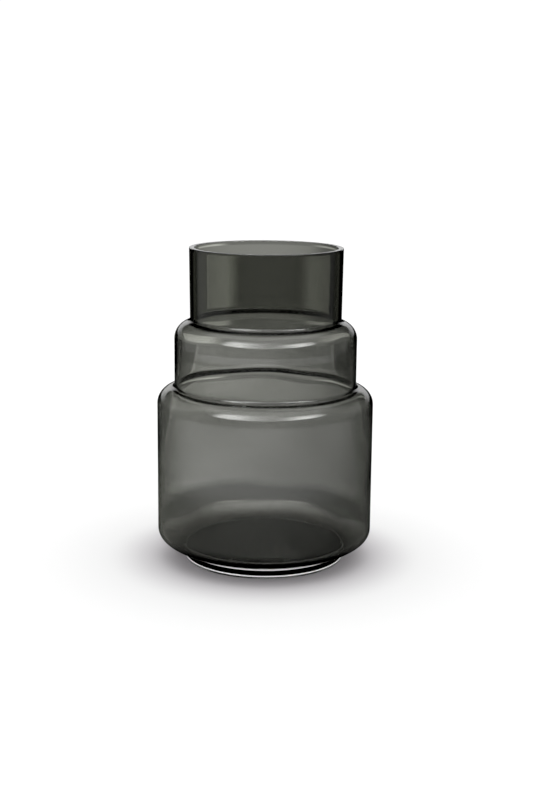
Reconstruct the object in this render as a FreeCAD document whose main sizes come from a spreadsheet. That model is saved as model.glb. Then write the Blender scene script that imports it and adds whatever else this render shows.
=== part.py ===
"""Stepped smoke-glass vase on a clear glass foot.

Two pieces of glass, fused hot: a mould-blown vessel in three tiers (body, middle tier, neck)
and a solid clear disc welded under it. The frame has +Z up and its origin on the vase's axis,
in the plane that the vase stands on. All lengths are millimetres.
"""

import FreeCAD, Part
import math
import os

import Sketcher

# Driving dimensions: alias in the sheet, value, what it measures.
DIMENSIONS = [
    ("total_height", 240.0, "standing plane to cut rim"),
    ("foot_radius", 61.3, "outside of the clear foot"),
    ("foot_height", 9.0, "standing plane to weld"),
    ("foot_top_round", 1.0, "softened upper edge of the foot"),
    ("foot_bottom_round", 1.3, "polished lower edge of the foot"),
    ("ground_ring_width", 9.0, "flat ring that the foot stands on"),
    ("underside_hollow", 0.8, "depth of the hollow inside the ground ring"),
    ("body_radius", 82.5, "outside of the wide body"),
    ("body_shoulder_height", 133.5, "top of the body's shoulder arc"),
    ("body_shoulder_round", 12.0, "outer radius of the body's shoulder"),
    ("body_wall", 2.0, "wall of the body"),
    ("corner_sweep_round", 28.5, "large outer radius that leaves the foot"),
    ("corner_round", 10.0, "small outer radius that meets the body wall"),
    ("floor_wall", 4.0, "floor of the vessel above the weld"),
    ("floor_sweep_round", 24.0, "large inner radius that leaves the floor"),
    ("middle_radius", 69.3, "outside of the middle tier"),
    ("middle_shoulder_height", 184.4, "top of the middle tier's shoulder arc"),
    ("middle_shoulder_round", 13.0, "outer radius of the middle tier's shoulder"),
    ("middle_wall", 2.1, "wall of the middle tier"),
    ("neck_radius", 57.4, "outside of the neck where it leaves the shoulder"),
    ("rim_radius", 58.0, "outside of the neck at the rim"),
    ("neck_wall", 4.0, "wall of the neck and rim"),
    ("rim_round", 0.5, "polished edges of the cut rim"),
    ("step_round", 3.5, "outer hollow radius where a tier leaves the shoulder below"),
    ("middle_step_inner_round", 2.5, "inner radius where the middle tier leaves the body"),
    ("neck_step_inner_round", 2.5, "inner radius where the neck leaves the middle tier"),
]

START, END, CENTRE = 1, 2, 3
ORIGIN = (-1, 1)
VERTICAL_AXIS = -2
QUARTER = math.pi / 2


def make_sheet(doc):
    """Spreadsheet with one aliased cell for each driving dimension."""
    sheet = doc.addObject("Spreadsheet::Sheet", "Size")
    for row, (alias, value, meaning) in enumerate(DIMENSIONS, start=1):
        sheet.set(f"A{row}", alias)
        sheet.set(f"B{row}", str(value))
        sheet.set(f"C{row}", meaning)
        sheet.setAlias(f"B{row}", alias)
    doc.recompute()
    return sheet


class Outline:
    """Closed chain of lines and arcs in a sketch: X is the radius, Y the height.

    A piece is drawn close to its final place, joined to the piece before it, and bound to the
    sheet. It is kept as (geometry number, its first point, its last point).
    """

    def __init__(self, body, name):
        plane = next(f for f in body.Origin.OriginFeatures if f.Role == "XZ_Plane")
        self.sketch = body.newObject("Sketcher::SketchObject", name)
        self.sketch.AttachmentSupport = (plane, [""])
        self.sketch.MapMode = "FlatFace"
        self.pieces = []

    def rule(self, kind, *places):
        return self.sketch.addConstraint(Sketcher.Constraint(kind, *places))

    def join(self, piece, smooth):
        """Add a piece to the chain, tangent to the one before it where smooth."""
        if self.pieces:
            before = self.pieces[-1]
            self.rule("Tangent" if smooth else "Coincident", before[0], before[2], piece[0], piece[1])
        self.pieces.append(piece)
        return piece

    def line(self, start, end, smooth=True):
        points = [FreeCAD.Vector(*p, 0) for p in (start, end)]
        number = self.sketch.addGeometry(Part.LineSegment(*points))
        return self.join((number, START, END), smooth)

    def arc(self, centre, radius, angle, turn):
        """Arc from angle through turn, in radians. A negative turn runs clockwise."""
        circle = Part.Circle(FreeCAD.Vector(*centre, 0), FreeCAD.Vector(0, 0, 1), radius)
        number = self.sketch.addGeometry(Part.ArcOfCircle(circle, *sorted((angle, angle + turn))))
        ends = (START, END) if turn > 0 else (END, START)
        return self.join((number, *ends), True)

    def close(self):
        """Close the chain down the axis, from its last point to its first."""
        first, last = self.pieces[0], self.pieces[-1]
        bottom, top = self.sketch.getPoint(*first[:2]), self.sketch.getPoint(last[0], last[2])
        axis = self.line((0, top.y), (0, bottom.y), smooth=False)
        self.rule("Coincident", axis[0], END, first[0], first[1])
        self.rule("PointOnObject", axis[0], START, VERTICAL_AXIS)
        self.rule("PointOnObject", axis[0], END, VERTICAL_AXIS)

    def bind(self, kind, places, value, expression):
        number = self.rule(kind, *places, value)
        self.sketch.setExpression(f"Constraints[{number}]", expression)

    def radius(self, piece, expression):
        self.bind("Radius", (piece[0],), self.sketch.Geometry[piece[0]].Radius, expression)

    def out(self, piece, point, expression):
        """Distance of a point of the piece from the axis."""
        value = self.sketch.getPoint(piece[0], point).x
        self.bind("DistanceX", (*ORIGIN, piece[0], point), value, expression)

    def up(self, piece, point, expression):
        """Height of a point of the piece."""
        value = self.sketch.getPoint(piece[0], point).y
        self.bind("DistanceY", (*ORIGIN, piece[0], point), value, expression)


def step_arcs(wall, shoulder_top, shoulder_round, next_wall, step_round):
    """Centres of a convex shoulder arc and of the hollow arc on it, and the angle they turn.

    The shoulder arc leaves an upright wall, and the hollow arc ends in the next upright wall.
    """
    shoulder = (wall - shoulder_round, shoulder_top - shoulder_round)
    across = next_wall + step_round - shoulder[0]
    rise = math.sqrt((shoulder_round + step_round) ** 2 - across**2)
    return shoulder, (shoulder[0] + across, shoulder[1] + rise), math.atan2(rise, across)


def draw_outside(outline, size):
    """Outside of the vessel, from the weld at the axis up to the rim."""
    weld = size["foot_radius"] - size["foot_top_round"]
    sweep, corner = size["corner_sweep_round"], size["corner_round"]
    corner_out = size["body_radius"] - corner
    lean = math.asin((corner_out - weld) / (sweep - corner))
    sweep_up = size["foot_height"] + sweep
    corner_up = sweep_up - (sweep - corner) * math.cos(lean)

    under = outline.line((0, size["foot_height"]), (weld, size["foot_height"]))
    outline.rule("Horizontal", under[0])
    outline.up(under, START, "Size.foot_height")
    outline.out(under, END, "Size.foot_radius - Size.foot_top_round")
    arc = outline.arc((weld, sweep_up), sweep, -QUARTER, lean)
    outline.radius(arc, "Size.corner_sweep_round")
    outer_corner = outline.arc((corner_out, corner_up), corner, lean - QUARTER, QUARTER - lean)
    outline.radius(outer_corner, "Size.corner_round")

    low = corner_up
    for tier, upper in (("body", "middle"), ("middle", "neck")):
        wall, rounding = size[f"{tier}_radius"], size[f"{tier}_shoulder_round"]
        top, next_wall = size[f"{tier}_shoulder_height"], size[f"{upper}_radius"]
        shoulder, step, turn = step_arcs(wall, top, rounding, next_wall, size["step_round"])
        upright = outline.line((wall, low), (wall, shoulder[1]))
        outline.rule("Vertical", upright[0])
        outline.out(upright, START, f"Size.{tier}_radius")
        arc = outline.arc(shoulder, rounding, 0, turn)
        outline.radius(arc, f"Size.{tier}_shoulder_round")
        outline.up(arc, CENTRE, f"Size.{tier}_shoulder_height - Size.{tier}_shoulder_round")
        arc = outline.arc(step, size["step_round"], turn + 2 * QUARTER, -turn)
        outline.radius(arc, "Size.step_round")
        low = step[1]

    rim_low = size["total_height"] - size["rim_round"]
    neck = outline.line((size["neck_radius"], low), (size["rim_radius"], rim_low))
    outline.out(neck, START, "Size.neck_radius")
    outline.out(neck, END, "Size.rim_radius")
    return outer_corner


def draw_rim(outline, size):
    """Flat cut rim with polished edges."""
    rounding, outside = size["rim_round"], size["rim_radius"]
    inside = outside - size["neck_wall"]
    low = size["total_height"] - rounding
    arc = outline.arc((outside - rounding, low), rounding, 0, QUARTER)
    outline.radius(arc, "Size.rim_round")
    ends = [(outside - rounding, size["total_height"]), (inside + rounding, size["total_height"])]
    cut = outline.line(*ends)
    outline.rule("Horizontal", cut[0])
    outline.up(cut, START, "Size.total_height")
    arc = outline.arc((inside + rounding, low), rounding, QUARTER, QUARTER)
    outline.radius(arc, "Size.rim_round")


def draw_inside(outline, size, outer_corner):
    """Inside of the vessel, from the rim down to the floor at the axis."""
    top = size["total_height"] - size["rim_round"]
    wall = size["neck_radius"] - size["neck_wall"]
    upper = "neck"
    for tier in ("middle", "body"):
        next_wall = size[f"{tier}_radius"] - size[f"{tier}_wall"]
        rounding = size[f"{tier}_shoulder_round"] - size[f"{tier}_wall"]
        crest = size[f"{tier}_shoulder_height"] - size[f"{tier}_wall"]
        inner_round = size[f"{upper}_step_inner_round"]
        shoulder, step, turn = step_arcs(next_wall, crest, rounding, wall, inner_round)
        if upper == "neck":
            upright = outline.line((size["rim_radius"] - size["neck_wall"], top), (wall, step[1]))
            outline.out(upright, START, "Size.rim_radius - Size.neck_wall")
            outline.out(upright, END, "Size.neck_radius - Size.neck_wall")
        else:
            upright = outline.line((wall, top), (wall, step[1]))
            outline.rule("Vertical", upright[0])
            outline.out(upright, START, f"Size.{upper}_radius - Size.{upper}_wall")
        arc = outline.arc(step, inner_round, 2 * QUARTER, turn)
        outline.radius(arc, f"Size.{upper}_step_inner_round")
        arc = outline.arc(shoulder, rounding, turn, -turn)
        outline.radius(arc, f"Size.{tier}_shoulder_round - Size.{tier}_wall")
        outline.up(arc, CENTRE, f"Size.{tier}_shoulder_height - Size.{tier}_shoulder_round")
        upper, wall, top = tier, next_wall, shoulder[1]

    centre = outline.sketch.getPoint(outer_corner[0], CENTRE)
    sweep, corner = size["floor_sweep_round"], size["corner_round"] - size["body_wall"]
    floor = size["foot_height"] + size["floor_wall"]
    lean = math.acos((floor + sweep - centre.y) / (sweep - corner))
    sweep_out = centre.x - (sweep - corner) * math.sin(lean)
    upright = outline.line((wall, top), (wall, centre.y))
    outline.rule("Vertical", upright[0])
    outline.out(upright, START, "Size.body_radius - Size.body_wall")
    arc = outline.arc((centre.x, centre.y), corner, 0, lean - QUARTER)
    outline.radius(arc, "Size.corner_round - Size.body_wall")
    outline.rule("Horizontal", arc[0], CENTRE, outer_corner[0], CENTRE)
    arc = outline.arc((sweep_out, floor + sweep), sweep, lean - QUARTER, -lean)
    outline.radius(arc, "Size.floor_sweep_round")
    base = outline.line((sweep_out, floor), (0, floor))
    outline.rule("Horizontal", base[0])
    outline.up(base, START, "Size.foot_height + Size.floor_wall")


def revolve(body, outline):
    """Turn a closed outline once round the vertical axis."""
    turned = body.newObject("PartDesign::Revolution", f"{body.Name}_turned")
    turned.Profile = outline.sketch
    turned.ReferenceAxis = (outline.sketch, ["V_Axis"])
    turned.Angle = 360.0
    return body


def smoke_glass_vessel(doc, size):
    """Rim, neck, middle tier, body and floor: one continuous blown wall."""
    body = doc.addObject("PartDesign::Body", "smoke_glass_vessel")
    outline = Outline(body, "vessel_wall")
    outer_corner = draw_outside(outline, size)
    draw_rim(outline, size)
    draw_inside(outline, size, outer_corner)
    outline.close()
    return revolve(body, outline)


def clear_glass_foot(doc, size):
    """Solid clear disc that stands on a ground ring round a shallow hollow."""
    body = doc.addObject("PartDesign::Body", "clear_glass_foot")
    outline = Outline(body, "foot_section")
    edge, height = size["foot_radius"], size["foot_height"]
    low, high = size["foot_bottom_round"], size["foot_top_round"]
    ring_out = edge - low
    ring_in = ring_out - size["ground_ring_width"]
    hollow = outline.line((0, size["underside_hollow"]), (ring_in, 0))
    outline.up(hollow, START, "Size.underside_hollow")
    ring = outline.line((ring_in, 0), (ring_out, 0), smooth=False)
    outline.rule("Horizontal", ring[0])
    outline.up(ring, START, "0")
    outline.out(ring, START, "Size.foot_radius - Size.foot_bottom_round - Size.ground_ring_width")
    arc = outline.arc((ring_out, low), low, -QUARTER, QUARTER)
    outline.radius(arc, "Size.foot_bottom_round")
    side = outline.line((edge, low), (edge, height - high))
    outline.rule("Vertical", side[0])
    outline.out(side, START, "Size.foot_radius")
    arc = outline.arc((edge - high, height - high), high, 0, QUARTER)
    outline.radius(arc, "Size.foot_top_round")
    weld = outline.line((edge - high, height), (0, height))
    outline.rule("Horizontal", weld[0])
    outline.up(weld, START, "Size.foot_height")
    outline.close()
    return revolve(body, outline)


def check(doc, parts):
    """Stop if an object failed, a sketch is loose or a shape isn't one sound solid."""
    for thing in doc.Objects:
        if {"Invalid", "Error"} & set(thing.State):
            raise RuntimeError(f"{thing.Name}: {thing.State}")
        if thing.TypeId == "Sketcher::SketchObject" and not thing.FullyConstrained:
            raise RuntimeError(f"{thing.Name}: not fully constrained")
    for part in parts:
        if part.Shape.isNull() or not part.Shape.isValid() or len(part.Shape.Solids) != 1:
            raise RuntimeError(f"{part.Label}: bad shape")


def main():
    doc = FreeCAD.newDocument("stepped_vase")
    make_sheet(doc)
    size = {alias: value for alias, value, meaning in DIMENSIONS}
    parts = [smoke_glass_vessel(doc, size), clear_glass_foot(doc, size)]
    doc.recompute()
    check(doc, parts)
    os.makedirs("parts", exist_ok=True)
    for part in parts:
        part.Label = part.Name
        part.Placement = FreeCAD.Placement()
        part.Shape.exportStep(f"parts/{part.Label}.step")
        box = part.Shape.optimalBoundingBox()
        print(part.Label, f"volume {part.Shape.Volume:.0f} mm3, z {box.ZMin:.2f} to {box.ZMax:.2f},",
              f"radius {box.XMax:.2f}")


main()
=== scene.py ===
"""Stepped smoke-glass vase on a clear glass foot: the looks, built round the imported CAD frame."""

import functools
import math

import bmesh
import bpy
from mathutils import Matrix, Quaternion


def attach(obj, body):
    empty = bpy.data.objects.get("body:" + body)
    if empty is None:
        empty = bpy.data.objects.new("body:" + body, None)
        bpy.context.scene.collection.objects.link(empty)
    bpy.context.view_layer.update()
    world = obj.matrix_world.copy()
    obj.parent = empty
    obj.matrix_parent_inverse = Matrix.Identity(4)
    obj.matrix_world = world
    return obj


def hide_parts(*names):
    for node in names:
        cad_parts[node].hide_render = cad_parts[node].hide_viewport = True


MM = 0.001
TURN = 2 * math.pi
QUARTER = math.pi / 2
SEGMENTS = 240

# The CAD drawing's dimensions, in millimetres.
TOTAL_HEIGHT = 240.0
FOOT_RADIUS, FOOT_HEIGHT = 61.3, 9.0
FOOT_TOP_ROUND, FOOT_BOTTOM_ROUND = 1.0, 1.3
GROUND_RING, UNDERSIDE_HOLLOW = 9.0, 0.8
BODY_RADIUS, BODY_SHOULDER, BODY_ROUND, BODY_WALL = 82.5, 133.5, 12.0, 2.0
SWEEP_ROUND, CORNER_ROUND = 28.5, 10.0
FLOOR_WALL, FLOOR_SWEEP = 4.0, 24.0
MIDDLE_RADIUS, MIDDLE_SHOULDER, MIDDLE_ROUND, MIDDLE_WALL = 69.3, 184.4, 13.0, 2.1
NECK_RADIUS, RIM_RADIUS, NECK_WALL, RIM_ROUND = 57.4, 58.0, 4.0, 0.5
STEP_ROUND, MIDDLE_STEP_INSIDE, NECK_STEP_INSIDE = 3.5, 2.5, 2.5

# Heights between which the inside wall has the slow waves of blown glass, and each wave's depth,
# number of lobes round the vase and pitch: the height over which it shifts by one radian.
WAVES_FROM, WAVES_TO, WAVES_FADE = 22.0, 192.0, 16.0
WAVES = ((0.12, 2, 14.0), (0.06, 7, -9.0))

# How far the foot reaches into the vessel, so that light crosses the fused weld with no air gap, and
# how far past the weld's edge its index is levelled.
WELD_OVERLAP = 0.25
WELD_MARGIN = 0.01

# Pale opaque rings, a painted highlight that stands for the bright edges of the foot: name, height, tube
# radius.
PAINTED_HIGHLIGHT_RINGS = (("foot_upper_edge_highlight", 7.2, 0.85), ("foot_lower_edge_highlight", 2.0, 0.6))
EDGE_SIDES = 12

GLASS_INDEX = 1.51
SMOKE_COLOUR, SMOKE_DENSITY = (0.14, 0.15, 0.09), 400.0
CLEAR_COLOUR, CLEAR_DENSITY = (0.6, 0.7, 0.62), 4.0

# The stage, in metres and degrees: table, the camera's white, and the camera.
TABLE_RADIUS = 1.0
SWEEP_WHITE = 1.05
EYE, EYE_PITCH, EYE_ROLL, EYE_LENS = (0.001, -1.014, 0.337), 11.92, 0.5, 60.78


def arc(centre, radius, start, end, step=math.radians(4)):
    """Points (radius, height) along an arc, both ends included."""
    count = max(2, math.ceil(abs(end - start) / step))
    angles = [start + (end - start) * i / count for i in range(count + 1)]
    return [(centre[0] + radius * math.cos(a), centre[1] + radius * math.sin(a)) for a in angles]


def run(start, end, step=3.0):
    """Points along a straight run, without its two ends."""
    count = max(1, math.ceil(math.dist(start, end) / step))
    along = [i / count for i in range(1, count)]
    return [(start[0] + (end[0] - start[0]) * t, start[1] + (end[1] - start[1]) * t) for t in along]


def joined(*parts):
    """One chain of points, with straight runs laid between the parts."""
    chain = list(parts[0])
    for part in parts[1:]:
        if math.dist(chain[-1], part[0]) > 1e-6:
            chain += run(chain[-1], part[0]) + [part[0]]
        chain += part[1:]
    return chain


def step_arcs(wall, top, rounding, next_wall, step_round):
    """Centres of a shoulder arc and of the hollow arc on it, and the angle they turn."""
    shoulder = (wall - rounding, top - rounding)
    across = next_wall + step_round - shoulder[0]
    rise = math.sqrt((rounding + step_round) ** 2 - across**2)
    return shoulder, (shoulder[0] + across, shoulder[1] + rise), math.atan2(rise, across)


def shoulder_up(wall, top, rounding, next_wall, step_round):
    """Shoulder and hollow, from the wide wall up to the narrow one."""
    shoulder, hollow, turn = step_arcs(wall, top, rounding, next_wall, step_round)
    return arc(shoulder, rounding, 0, turn) + arc(hollow, step_round, turn + math.pi, math.pi)[1:]


def vessel_outside():
    """From the weld at the axis up to the rim."""
    weld = FOOT_RADIUS - FOOT_TOP_ROUND
    corner_out = BODY_RADIUS - CORNER_ROUND
    lean = math.asin((corner_out - weld) / (SWEEP_ROUND - CORNER_ROUND))
    sweep_up = FOOT_HEIGHT + SWEEP_ROUND
    corner = (corner_out, sweep_up - (SWEEP_ROUND - CORNER_ROUND) * math.cos(lean))
    bottom = arc((weld, sweep_up), SWEEP_ROUND, -QUARTER, lean - QUARTER, math.radians(1.5))
    side = arc(corner, CORNER_ROUND, lean - QUARTER, 0)
    body = shoulder_up(BODY_RADIUS, BODY_SHOULDER, BODY_ROUND, MIDDLE_RADIUS, STEP_ROUND)
    middle = shoulder_up(MIDDLE_RADIUS, MIDDLE_SHOULDER, MIDDLE_ROUND, NECK_RADIUS, STEP_ROUND)
    rim = arc((RIM_RADIUS - RIM_ROUND, TOTAL_HEIGHT - RIM_ROUND), RIM_ROUND, 0, QUARTER, QUARTER / 5)
    return joined([(0, FOOT_HEIGHT)], bottom + side[1:], body, middle, rim)


def vessel_inside():
    """From the rim down to the floor at the axis."""
    bore = RIM_RADIUS - NECK_WALL
    rim = arc((bore + RIM_ROUND, TOTAL_HEIGHT - RIM_ROUND), RIM_ROUND, QUARTER, math.pi, QUARTER / 5)
    middle_bore, body_bore = MIDDLE_RADIUS - MIDDLE_WALL, BODY_RADIUS - BODY_WALL
    middle = shoulder_up(middle_bore, MIDDLE_SHOULDER - MIDDLE_WALL, MIDDLE_ROUND - MIDDLE_WALL,
                         NECK_RADIUS - NECK_WALL, NECK_STEP_INSIDE)
    body = shoulder_up(body_bore, BODY_SHOULDER - BODY_WALL, BODY_ROUND - BODY_WALL,
                       middle_bore, MIDDLE_STEP_INSIDE)
    weld, corner_out = FOOT_RADIUS - FOOT_TOP_ROUND, BODY_RADIUS - CORNER_ROUND
    outer_lean = math.asin((corner_out - weld) / (SWEEP_ROUND - CORNER_ROUND))
    corner_up = FOOT_HEIGHT + SWEEP_ROUND - (SWEEP_ROUND - CORNER_ROUND) * math.cos(outer_lean)
    floor, corner = FOOT_HEIGHT + FLOOR_WALL, CORNER_ROUND - BODY_WALL
    lean = math.acos((floor + FLOOR_SWEEP - corner_up) / (FLOOR_SWEEP - corner))
    sweep_out = corner_out - (FLOOR_SWEEP - corner) * math.sin(lean)
    side = arc((corner_out, corner_up), corner, 0, lean - QUARTER)
    base = arc((sweep_out, floor + FLOOR_SWEEP), FLOOR_SWEEP, lean - QUARTER, -QUARTER, math.radians(1.5))
    return joined(rim, middle[::-1], body[::-1], side + base[1:], [(0, floor)])


def foot_section():
    """Solid disc with a ground ring and a shallow hollow underneath, from the hollow's middle."""
    ring_out = FOOT_RADIUS - FOOT_BOTTOM_ROUND
    low = arc((ring_out, FOOT_BOTTOM_ROUND), FOOT_BOTTOM_ROUND, -QUARTER, 0, math.radians(9))
    high = arc((FOOT_RADIUS - FOOT_TOP_ROUND, FOOT_HEIGHT - FOOT_TOP_ROUND), FOOT_TOP_ROUND, 0, QUARTER,
               math.radians(9))
    weld = FOOT_RADIUS - FOOT_TOP_ROUND
    inside = [(weld, FOOT_HEIGHT + WELD_OVERLAP), (0, FOOT_HEIGHT + WELD_OVERLAP)]
    return joined([(0, UNDERSIDE_HOLLOW)], [(ring_out - GROUND_RING, 0)], low, high, inside)


def spun(form, section):
    """One ring of vertices for each point of a section, turned round the axis, or one vertex on it."""
    rings = []
    for out, up in section:
        if out < 1e-6:
            rings.append([form.verts.new((0, 0, up * MM))])
        else:
            spots = [(out * math.cos(TURN * i / SEGMENTS), out * math.sin(TURN * i / SEGMENTS))
                     for i in range(SEGMENTS)]
            rings.append([form.verts.new((x * MM, y * MM, up * MM)) for x, y in spots])
    return rings


def bridged(form, low, high):
    """Smooth faces between two rings; where one is a single vertex they are triangles."""
    for i in range(SEGMENTS):
        j = (i + 1) % SEGMENTS
        corners = [low[i % len(low)], low[j % len(low)], high[j % len(high)], high[i % len(high)]]
        form.faces.new(list(dict.fromkeys(corners))).smooth = True


def placed(name, form):
    """New object with the form as its mesh."""
    mesh = bpy.data.meshes.new(name)
    form.to_mesh(mesh)
    form.free()
    piece = bpy.data.objects.new(name, mesh)
    bpy.context.scene.collection.objects.link(piece)
    return piece


def turned(name, section):
    """Closed mesh: a section that starts and ends on the axis, turned once round it."""
    form = bmesh.new()
    rings = spun(form, section)
    for low, high in zip(rings, rings[1:]):
        bridged(form, low, high)
    form.normal_update()
    return placed(name, form)


def glass(name, colour, density):
    """Polished surface round a body that swallows light on its way; the hidden weld bends none."""
    material = bpy.data.materials.new(name)
    material.use_nodes = True
    nodes, links = material.node_tree.nodes, material.node_tree.links
    surface = nodes["Principled BSDF"]
    surface.inputs["Base Color"].default_value = (1, 1, 1, 1)
    surface.inputs["Roughness"].default_value = 0.0
    surface.inputs["Transmission Weight"].default_value = 1.0
    maths = Maths(material.node_tree)
    x, y, z = maths.split(nodes.new("ShaderNodeTexCoord").outputs["Object"])
    within = maths("LESS_THAN", maths.length(x, y), (FOOT_RADIUS - FOOT_TOP_ROUND + WELD_MARGIN) * MM)
    off = maths("ABSOLUTE", maths("SUBTRACT", z, FOOT_HEIGHT * MM))
    weld = maths.times(within, maths("LESS_THAN", off, 1.5 * WELD_OVERLAP * MM))
    index = maths("SUBTRACT", GLASS_INDEX, maths.times(weld, GLASS_INDEX - 1))
    links.new(index, surface.inputs["IOR"])
    body = nodes.new("ShaderNodeVolumeAbsorption")
    body.inputs["Color"].default_value = (*colour, 1)
    body.inputs["Density"].default_value = density
    links.new(body.outputs["Volume"], nodes["Material Output"].inputs["Volume"])
    return material


def painted_highlight_material():
    """Pale satin surface with a fine grain and bump, a painted highlight that stands for a bright edge of
    the foot.
    """
    material = bpy.data.materials.new("painted_highlight_material")
    material.use_nodes = True
    nodes, links = material.node_tree.nodes, material.node_tree.links
    surface = nodes["Principled BSDF"]
    surface.inputs["Roughness"].default_value = 0.5
    surface.inputs["IOR"].default_value = 3.0
    grain = nodes.new("ShaderNodeTexNoise")
    grain.inputs["Scale"].default_value = 1800.0
    grain.inputs["Detail"].default_value = 3.0
    links.new(nodes.new("ShaderNodeTexCoord").outputs["Object"], grain.inputs["Vector"])
    tone = nodes.new("ShaderNodeMix")
    tone.data_type = "RGBA"
    links.new(grain.outputs["Fac"], tone.inputs["Factor"])
    tone.inputs["A"].default_value = (0.95, 0.95, 0.95, 1)
    tone.inputs["B"].default_value = (1, 1, 1, 1)
    links.new(tone.outputs["Result"], surface.inputs["Base Color"])
    bump = nodes.new("ShaderNodeBump")
    bump.inputs["Strength"].default_value = 0.3
    bump.inputs["Distance"].default_value = 0.05 * MM
    links.new(grain.outputs["Fac"], bump.inputs["Height"])
    links.new(bump.outputs["Normal"], surface.inputs["Normal"])
    return material


def blown_waves(mesh, first):
    """Slow waves in the inside wall, from vertex first on, as blowing leaves them; none in the neck."""
    for vertex in mesh.vertices[first:]:
        x, y, z = vertex.co / MM
        rising = min(max((z - WAVES_FROM) / WAVES_FADE, 0), 1)
        falling = min(max((WAVES_TO - z) / WAVES_FADE, 0), 1)
        fade = rising * falling
        if fade > 0:
            turn = math.atan2(y, x)
            wave = sum(depth * math.sin(lobes * turn + z / pitch) for depth, lobes, pitch in WAVES)
            vertex.co.x *= 1 + fade * wave / math.hypot(x, y)
            vertex.co.y *= 1 + fade * wave / math.hypot(x, y)


def smoke_glass_vessel():
    """The blown vessel: outside and inside in one closed wall of smoke glass."""
    outside = vessel_outside()
    piece = turned("smoke_glass_vessel_blown", joined(outside, vessel_inside()))
    blown_waves(piece.data, 1 + (len(outside) - 1) * SEGMENTS)
    piece.data.materials.append(glass("smoke_glass", SMOKE_COLOUR, SMOKE_DENSITY))
    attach(piece, "root")
    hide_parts("smoke_glass_vessel")


def clear_glass_foot():
    """The clear disc under the vessel."""
    piece = turned("clear_glass_foot_polished", foot_section())
    piece.data.materials.append(glass("clear_glass", CLEAR_COLOUR, CLEAR_DENSITY))
    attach(piece, "root")
    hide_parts("clear_glass_foot")


def painted_highlight_ring(name, up, tube):
    """Thin pale ring half sunk in the side of the foot, a painted highlight: it stands for the bright line
    of an edge.
    """
    turns = [TURN * i / EDGE_SIDES for i in range(EDGE_SIDES)]
    middle = FOOT_RADIUS - tube / 2
    section = [(middle + tube * math.cos(turn), up + tube * math.sin(turn)) for turn in turns]
    form = bmesh.new()
    rings = spun(form, section)
    for low, high in zip(rings, rings[1:] + rings[:1]):
        bridged(form, low, high)
    bmesh.ops.recalc_face_normals(form, faces=form.faces)
    piece = placed(name, form)
    piece.data.materials.append(painted_highlight_material())
    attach(piece, "root")


class Maths:
    """Small builder of value formulas in a node tree."""

    def __init__(self, tree):
        self.nodes, self.links = tree.nodes, tree.links

    def __call__(self, operation, *values):
        node = self.nodes.new("ShaderNodeMath")
        node.operation = operation
        for socket, value in zip(node.inputs, values):
            if isinstance(value, (int, float)):
                socket.default_value = value
            else:
                self.links.new(value, socket)
        return node.outputs["Value"]

    def total(self, *values):
        """All the values added up."""
        return functools.reduce(functools.partial(self, "ADD"), values)

    def times(self, *values):
        """All the values multiplied."""
        return functools.reduce(functools.partial(self, "MULTIPLY"), values)

    def length(self, x, y):
        """Distance from the axis to (x, y)."""
        return self("SQRT", self.total(self.times(x, x), self.times(y, y)))

    def split(self, vector):
        """The three numbers of a vector."""
        node = self.nodes.new("ShaderNodeSeparateXYZ")
        self.links.new(vector, node.inputs[0])
        return node.outputs

    def mix(self, factor, no, yes):
        """no where factor is 0, yes where it is 1."""
        return self.total(self.times(self("SUBTRACT", 1, factor), no), self.times(factor, yes))

    def hump(self, value, middle, half):
        """Bell curve, 1 at middle and 1/e at half to each side."""
        share = self("DIVIDE", self("SUBTRACT", value, middle), half)
        return self("EXPONENT", self.times(share, share, -1))

    def band(self, value, middle, half, soft):
        """1 within half of middle, 0 beyond, with a soft edge."""
        away = self("ABSOLUTE", self("SUBTRACT", value, middle))
        return self.slope(away, zero=half + soft, one=half - soft)

    def slope(self, value, zero, one):
        """0 where value is at zero, 1 where it is at one, smooth between."""
        node = self.nodes.new("ShaderNodeMapRange")
        node.interpolation_type = "SMOOTHSTEP"
        self.links.new(value, node.inputs["Value"])
        node.inputs["From Min"].default_value = zero
        node.inputs["From Max"].default_value = one
        return node.outputs["Result"]

    def by_ray(self, plain, mirrored, through):
        """plain, but what glass mirrors or shows through itself until the light has met the table."""
        ray = self.nodes.new("ShaderNodeLightPath").outputs
        direct = self("LESS_THAN", ray["Diffuse Depth"], 0.5)
        amount = self.mix(self.times(ray["Is Glossy Ray"], direct), plain, mirrored)
        return self.mix(self.times(ray["Is Transmission Ray"], direct), amount, through), ray


def studio():
    """White sweep for the camera, soft dome for the table, softboxes and a lit backdrop for the glass.

    Directions are in degrees: bearing is 0 towards the front and 90 to the right, height is 0 level.
    The angles and strengths here and on the table are a fit to how the glass looks in one photograph.
    """
    world = bpy.data.worlds.new("studio")
    bpy.context.scene.world = world
    world.use_nodes = True
    tree = world.node_tree
    maths = Maths(tree)
    x, y, z = maths.split(tree.nodes.new("ShaderNodeTexCoord").outputs["Generated"])
    bearing = maths("DEGREES", maths("ARCTAN2", x, maths.times(y, -1)))
    height = maths("DEGREES", maths("ARCSINE", z))
    boxes = softboxes(maths, bearing, height)
    mirrored = maths.total(boxes, side_walls(maths, bearing, height))
    through = maths.total(boxes, backdrop(maths, x, y, height))
    low_walls = maths.times(maths.band(height, middle=6, half=6, soft=3), 2.4)
    dome = maths.total(0.7, low_walls, maths.times(maths("MAXIMUM", z, 0), 0.65))
    amount, ray = maths.by_ray(dome, mirrored, through)
    amount = maths.mix(ray["Is Camera Ray"], amount, SWEEP_WHITE)
    tree.links.new(amount, tree.nodes["Background"].inputs["Strength"])
    tree.nodes["Background"].inputs["Color"].default_value = (1, 1, 1, 1)


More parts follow.
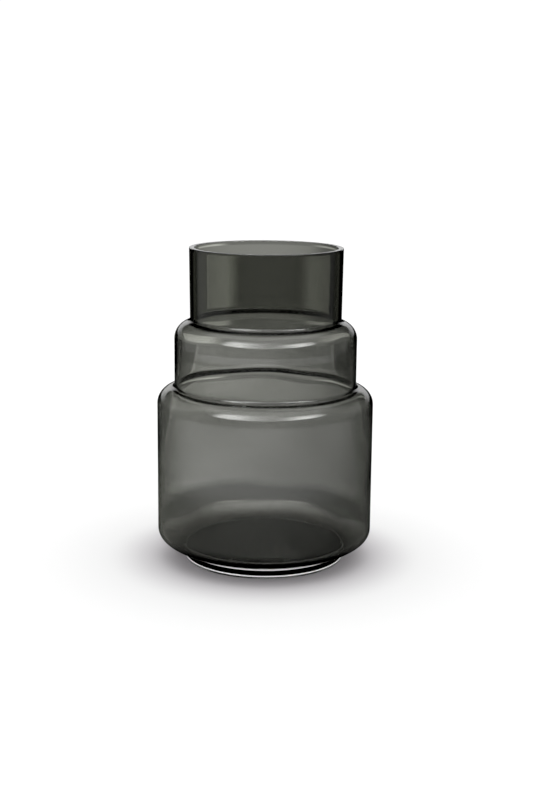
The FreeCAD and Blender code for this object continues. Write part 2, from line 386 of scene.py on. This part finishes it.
def softboxes(maths, bearing, height):
    """Two tall softboxes in front, left and right, a dim link between them, and a faint ceiling."""
    left = maths.times(maths.hump(bearing, middle=-42, half=28), maths.slope(bearing, zero=-68, one=-52),
                       maths.slope(height, zero=60, one=42), 9)
    right = maths.times(maths.hump(bearing, middle=48, half=24), maths.slope(bearing, zero=80, one=68),
                        maths.slope(height, zero=50, one=34), 9.5)
    link = maths.times(maths.hump(bearing, middle=0, half=25), maths.slope(height, zero=60, one=50), 1.3)
    # the boxes' lower edge is at 18 degrees in front and at 35 to the sides
    turned_away = maths("DIVIDE", bearing, 90)
    lower_edge = maths.total(18, maths.times(turned_away, turned_away, 17))
    above = maths("SUBTRACT", height, lower_edge)
    boxes = maths.times(maths.total(left, right, link), maths.slope(above, zero=-2, one=2))
    return maths.total(boxes, maths.times(maths.slope(height, zero=40, one=60), 0.9))


def side_walls(maths, bearing, height):
    """Dim walls low at both sides, mirrored near the vase's edges, and a low light line behind."""
    left = maths.times(maths.band(bearing, middle=-90, half=32, soft=8), 0.3)
    right = maths.times(maths.band(bearing, middle=90, half=30, soft=8), 0.15)
    sides = maths.times(maths.total(left, right), maths.slope(height, zero=35, one=20))
    behind = maths.slope(maths("ABSOLUTE", bearing), zero=135, one=160)
    return maths.total(sides, maths.times(behind, maths.band(height, middle=9, half=6, soft=2), 0.9))


def backdrop(maths, x, y, height):
    """Lit cloth behind: dim in the middle, two bright stretches, black cards, then plain white."""
    aside = maths("DEGREES", maths("ARCTAN2", x, y))
    left = maths.times(maths.slope(aside, zero=-8.6, one=-8.2), maths.slope(aside, zero=-2.2, one=-3.8))
    right = maths.times(maths.slope(aside, zero=2.6, one=5), maths.slope(aside, zero=11.0, one=10.4))
    light_line = maths.band(aside, middle=-8.1, half=0.35, soft=0.15)
    beyond_line = maths.slope(aside, zero=-8.2, one=-8.6)
    stretches = maths.total(maths.times(left, 1.5), maths.times(right, 0.95), maths.times(light_line, 0.5),
                            maths.times(beyond_line, 0.33))
    leftward = maths.slope(aside, zero=0, one=-6)
    uneven = maths("SUBTRACT", maths.times(leftward, 0.25), maths.times(right, 0.25))
    low = maths.times(maths.slope(height, zero=-8.9, one=-8.3), maths.slope(height, zero=-5.75, one=-6.0))
    top = maths.times(maths.slope(height, zero=-6.0, one=-5.75),
                      maths.band(aside, middle=0, half=5, soft=5), 0.25)
    cards = maths.times(maths.slope(aside, zero=-19.5, one=-17.5), maths.slope(aside, zero=11.4, one=10.8))
    dimmer_up = maths.total(0.5, maths.times(maths.slope(height, zero=8, one=0), 0.5))
    cloth = maths.times(maths.total(0.62, top, maths.mix(low, uneven, stretches)), cards, dimmer_up)
    plain = maths.slope(maths("ABSOLUTE", aside), zero=28, one=38)
    return maths.times(maths.total(cloth, plain), maths.slope(height, zero=40, one=20))


def painted_table_through_glass(maths, x, y):
    """Share of the table's white that glass shows, painted light and shade: bright behind and to the left,
    a light rim, black at the cards, dim close by.
    """
    side = maths("ABSOLUTE", x)
    aside = maths("ABSOLUTE", maths("DEGREES", maths("ARCTAN2", x, y)))
    # painted light: the table brighter to the left than to the right
    left_to_right = maths("SUBTRACT", 0.75, maths.times(x, 2.3))
    white = maths("MINIMUM", maths("MAXIMUM", left_to_right, 0.4), 0.95)
    # two straight borders, each further out for what is closer: a painted light rim, then the black cards
    # painted on the table
    closer = maths("MAXIMUM", maths("SUBTRACT", 0.35, y), 0)
    past_rim = maths("SUBTRACT", side, maths.total(0.141, maths.times(closer, 0.63)))
    past_card = maths("SUBTRACT", side, maths.total(0.11, maths.times(y, 0.17), maths.times(closer, 1.2)))
    within = maths.total(0.62, maths.times(maths.slope(past_rim, zero=0.006, one=-0.006), 0.38),
                         maths.times(maths.band(past_rim, middle=-0.006, half=0.005, soft=0.003), 0.35))
    within = maths("MAXIMUM", within, maths.slope(aside, zero=30, one=40))
    uncovered = maths("MAXIMUM", maths.slope(past_card, zero=0.01, one=-0.01),
                      maths.slope(aside, zero=24, one=36))
    # painted shade: less where the front of the table is mirrored on top of it
    near = maths.times(maths.slope(y, zero=0.16, one=0.24), maths.slope(y, zero=0.6, one=0.5))
    overlaid = maths("MAXIMUM", near, maths.slope(y, zero=0.775, one=0.8))
    kept = maths("SUBTRACT", 1, maths.times(overlaid, 0.3))
    return maths.times(white, within, uncovered, kept, maths("SUBTRACT", 1, painted_close_shade(maths, x, y)))


def painted_close_shade(maths, x, y):
    """Painted shade on the table that glass shows: a ring behind the vase, in front of it, and under the
    foot.
    """
    away = maths.length(x, y)
    from_middle = maths.length(x, maths("SUBTRACT", y, 0.09))
    outer = maths.slope(from_middle, zero=0.145, one=0.1)
    inner = maths.slope(from_middle, zero=0.04, one=0.07)
    ring = maths.times(outer, inner, maths.slope(y, zero=0.06, one=0.1), 0.65)
    ahead = maths.times(maths.slope(y, zero=0.0, one=-0.05), maths.slope(away, zero=0.16, one=0.11), 0.95)
    under = maths.times(maths.slope(away, zero=0.075, one=0.055), 0.8)
    return maths("MAXIMUM", maths("MAXIMUM", ring, ahead), under)


def painted_table_in_mirror(maths, x, y):
    """Share of the table's white that the glass mirrors, a painted reflection: a bright ring and far edge,
    brighter to the left, only its front half, with painted shade close to the vase.
    """
    away = maths.length(x, y)
    ring = maths.band(away, middle=0.46, half=0.16, soft=0.05)
    far_edge = maths.slope(away, zero=0.93, one=0.955)
    bright = maths.total(maths("MAXIMUM", ring, far_edge), 0.08)
    fade = maths.total(0.6, maths.times(maths.slope(x, zero=0.4, one=0.05), 0.4))
    return maths.times(bright, fade, maths.slope(away, zero=0.14, one=0.24),
                       maths.slope(y, zero=0.2, one=-0.2))


def white_table():
    """Pale round table top that the vase stands on, with a painted contact shadow, darker and a little
    pinker where they meet; its colour also carries painted light, shade and reflection for glass.
    """
    form = bmesh.new()
    bmesh.ops.create_circle(form, cap_ends=True, radius=TABLE_RADIUS, segments=96)
    table = placed("table", form)
    material = bpy.data.materials.new("white_table")
    material.use_nodes = True
    tree = material.node_tree
    surface = tree.nodes["Principled BSDF"]
    surface.inputs["Roughness"].default_value = 0.9
    surface.inputs["Specular IOR Level"].default_value = 0.0
    maths = Maths(tree)
    x, y, _ = maths.split(tree.nodes.new("ShaderNodeTexCoord").outputs["Object"])
    # painted light, shade and reflection: the table's colour differs for rays that glass mirrors and that
    # it lets through
    amount, _ = maths.by_ray(1, painted_table_in_mirror(maths, x, y), painted_table_through_glass(maths, x, y))
    # painted contact shadow: darker and a little pinker within 0.125 m of the axis
    painted_contact_shadow = maths.slope(maths.length(x, y), zero=0.125, one=0.05)
    amount = maths.times(amount, maths("SUBTRACT", 0.9, maths.times(painted_contact_shadow, 0.42)))
    green = maths.times(amount, maths("SUBTRACT", 1, maths.times(painted_contact_shadow, 0.045)))
    tint = tree.nodes.new("ShaderNodeCombineColor")
    for socket, share in zip(tint.inputs, (amount, green, amount)):
        tree.links.new(share, socket)
    tree.links.new(tint.outputs["Color"], surface.inputs["Base Color"])
    table.data.materials.append(material)


def camera():
    """The photograph's view: a little above the rim, a metre in front."""
    data = bpy.data.cameras.new("camera")
    data.lens = EYE_LENS
    data.clip_start = 0.05
    eye = bpy.data.objects.new("camera", data)
    down = Quaternion((1, 0, 0), QUARTER - math.radians(EYE_PITCH))
    roll = Quaternion((0, 0, 1), math.radians(EYE_ROLL))
    eye.rotation_mode = "QUATERNION"
    eye.rotation_quaternion = down @ roll
    eye.location = EYE
    bpy.context.scene.collection.objects.link(eye)
    bpy.context.scene.camera = eye


def light_paths():
    """Enough bounces for light to cross two glass walls, a thick floor and the foot."""
    scene = bpy.context.scene
    scene.view_settings.view_transform = "Standard"
    scene.cycles.max_bounces = 32
    scene.cycles.transmission_bounces = 32
    scene.cycles.glossy_bounces = 16
    scene.cycles.diffuse_bounces = 4


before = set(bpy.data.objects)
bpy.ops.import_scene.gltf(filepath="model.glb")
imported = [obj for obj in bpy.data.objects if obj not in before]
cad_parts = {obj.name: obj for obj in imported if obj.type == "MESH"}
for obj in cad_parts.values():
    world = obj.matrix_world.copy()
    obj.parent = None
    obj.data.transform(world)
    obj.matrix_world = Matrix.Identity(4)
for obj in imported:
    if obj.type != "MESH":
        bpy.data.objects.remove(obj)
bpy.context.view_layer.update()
smoke_glass_vessel()
clear_glass_foot()
for edge in PAINTED_HIGHLIGHT_RINGS:
    painted_highlight_ring(*edge)
white_table()
studio()
camera()
light_paths()
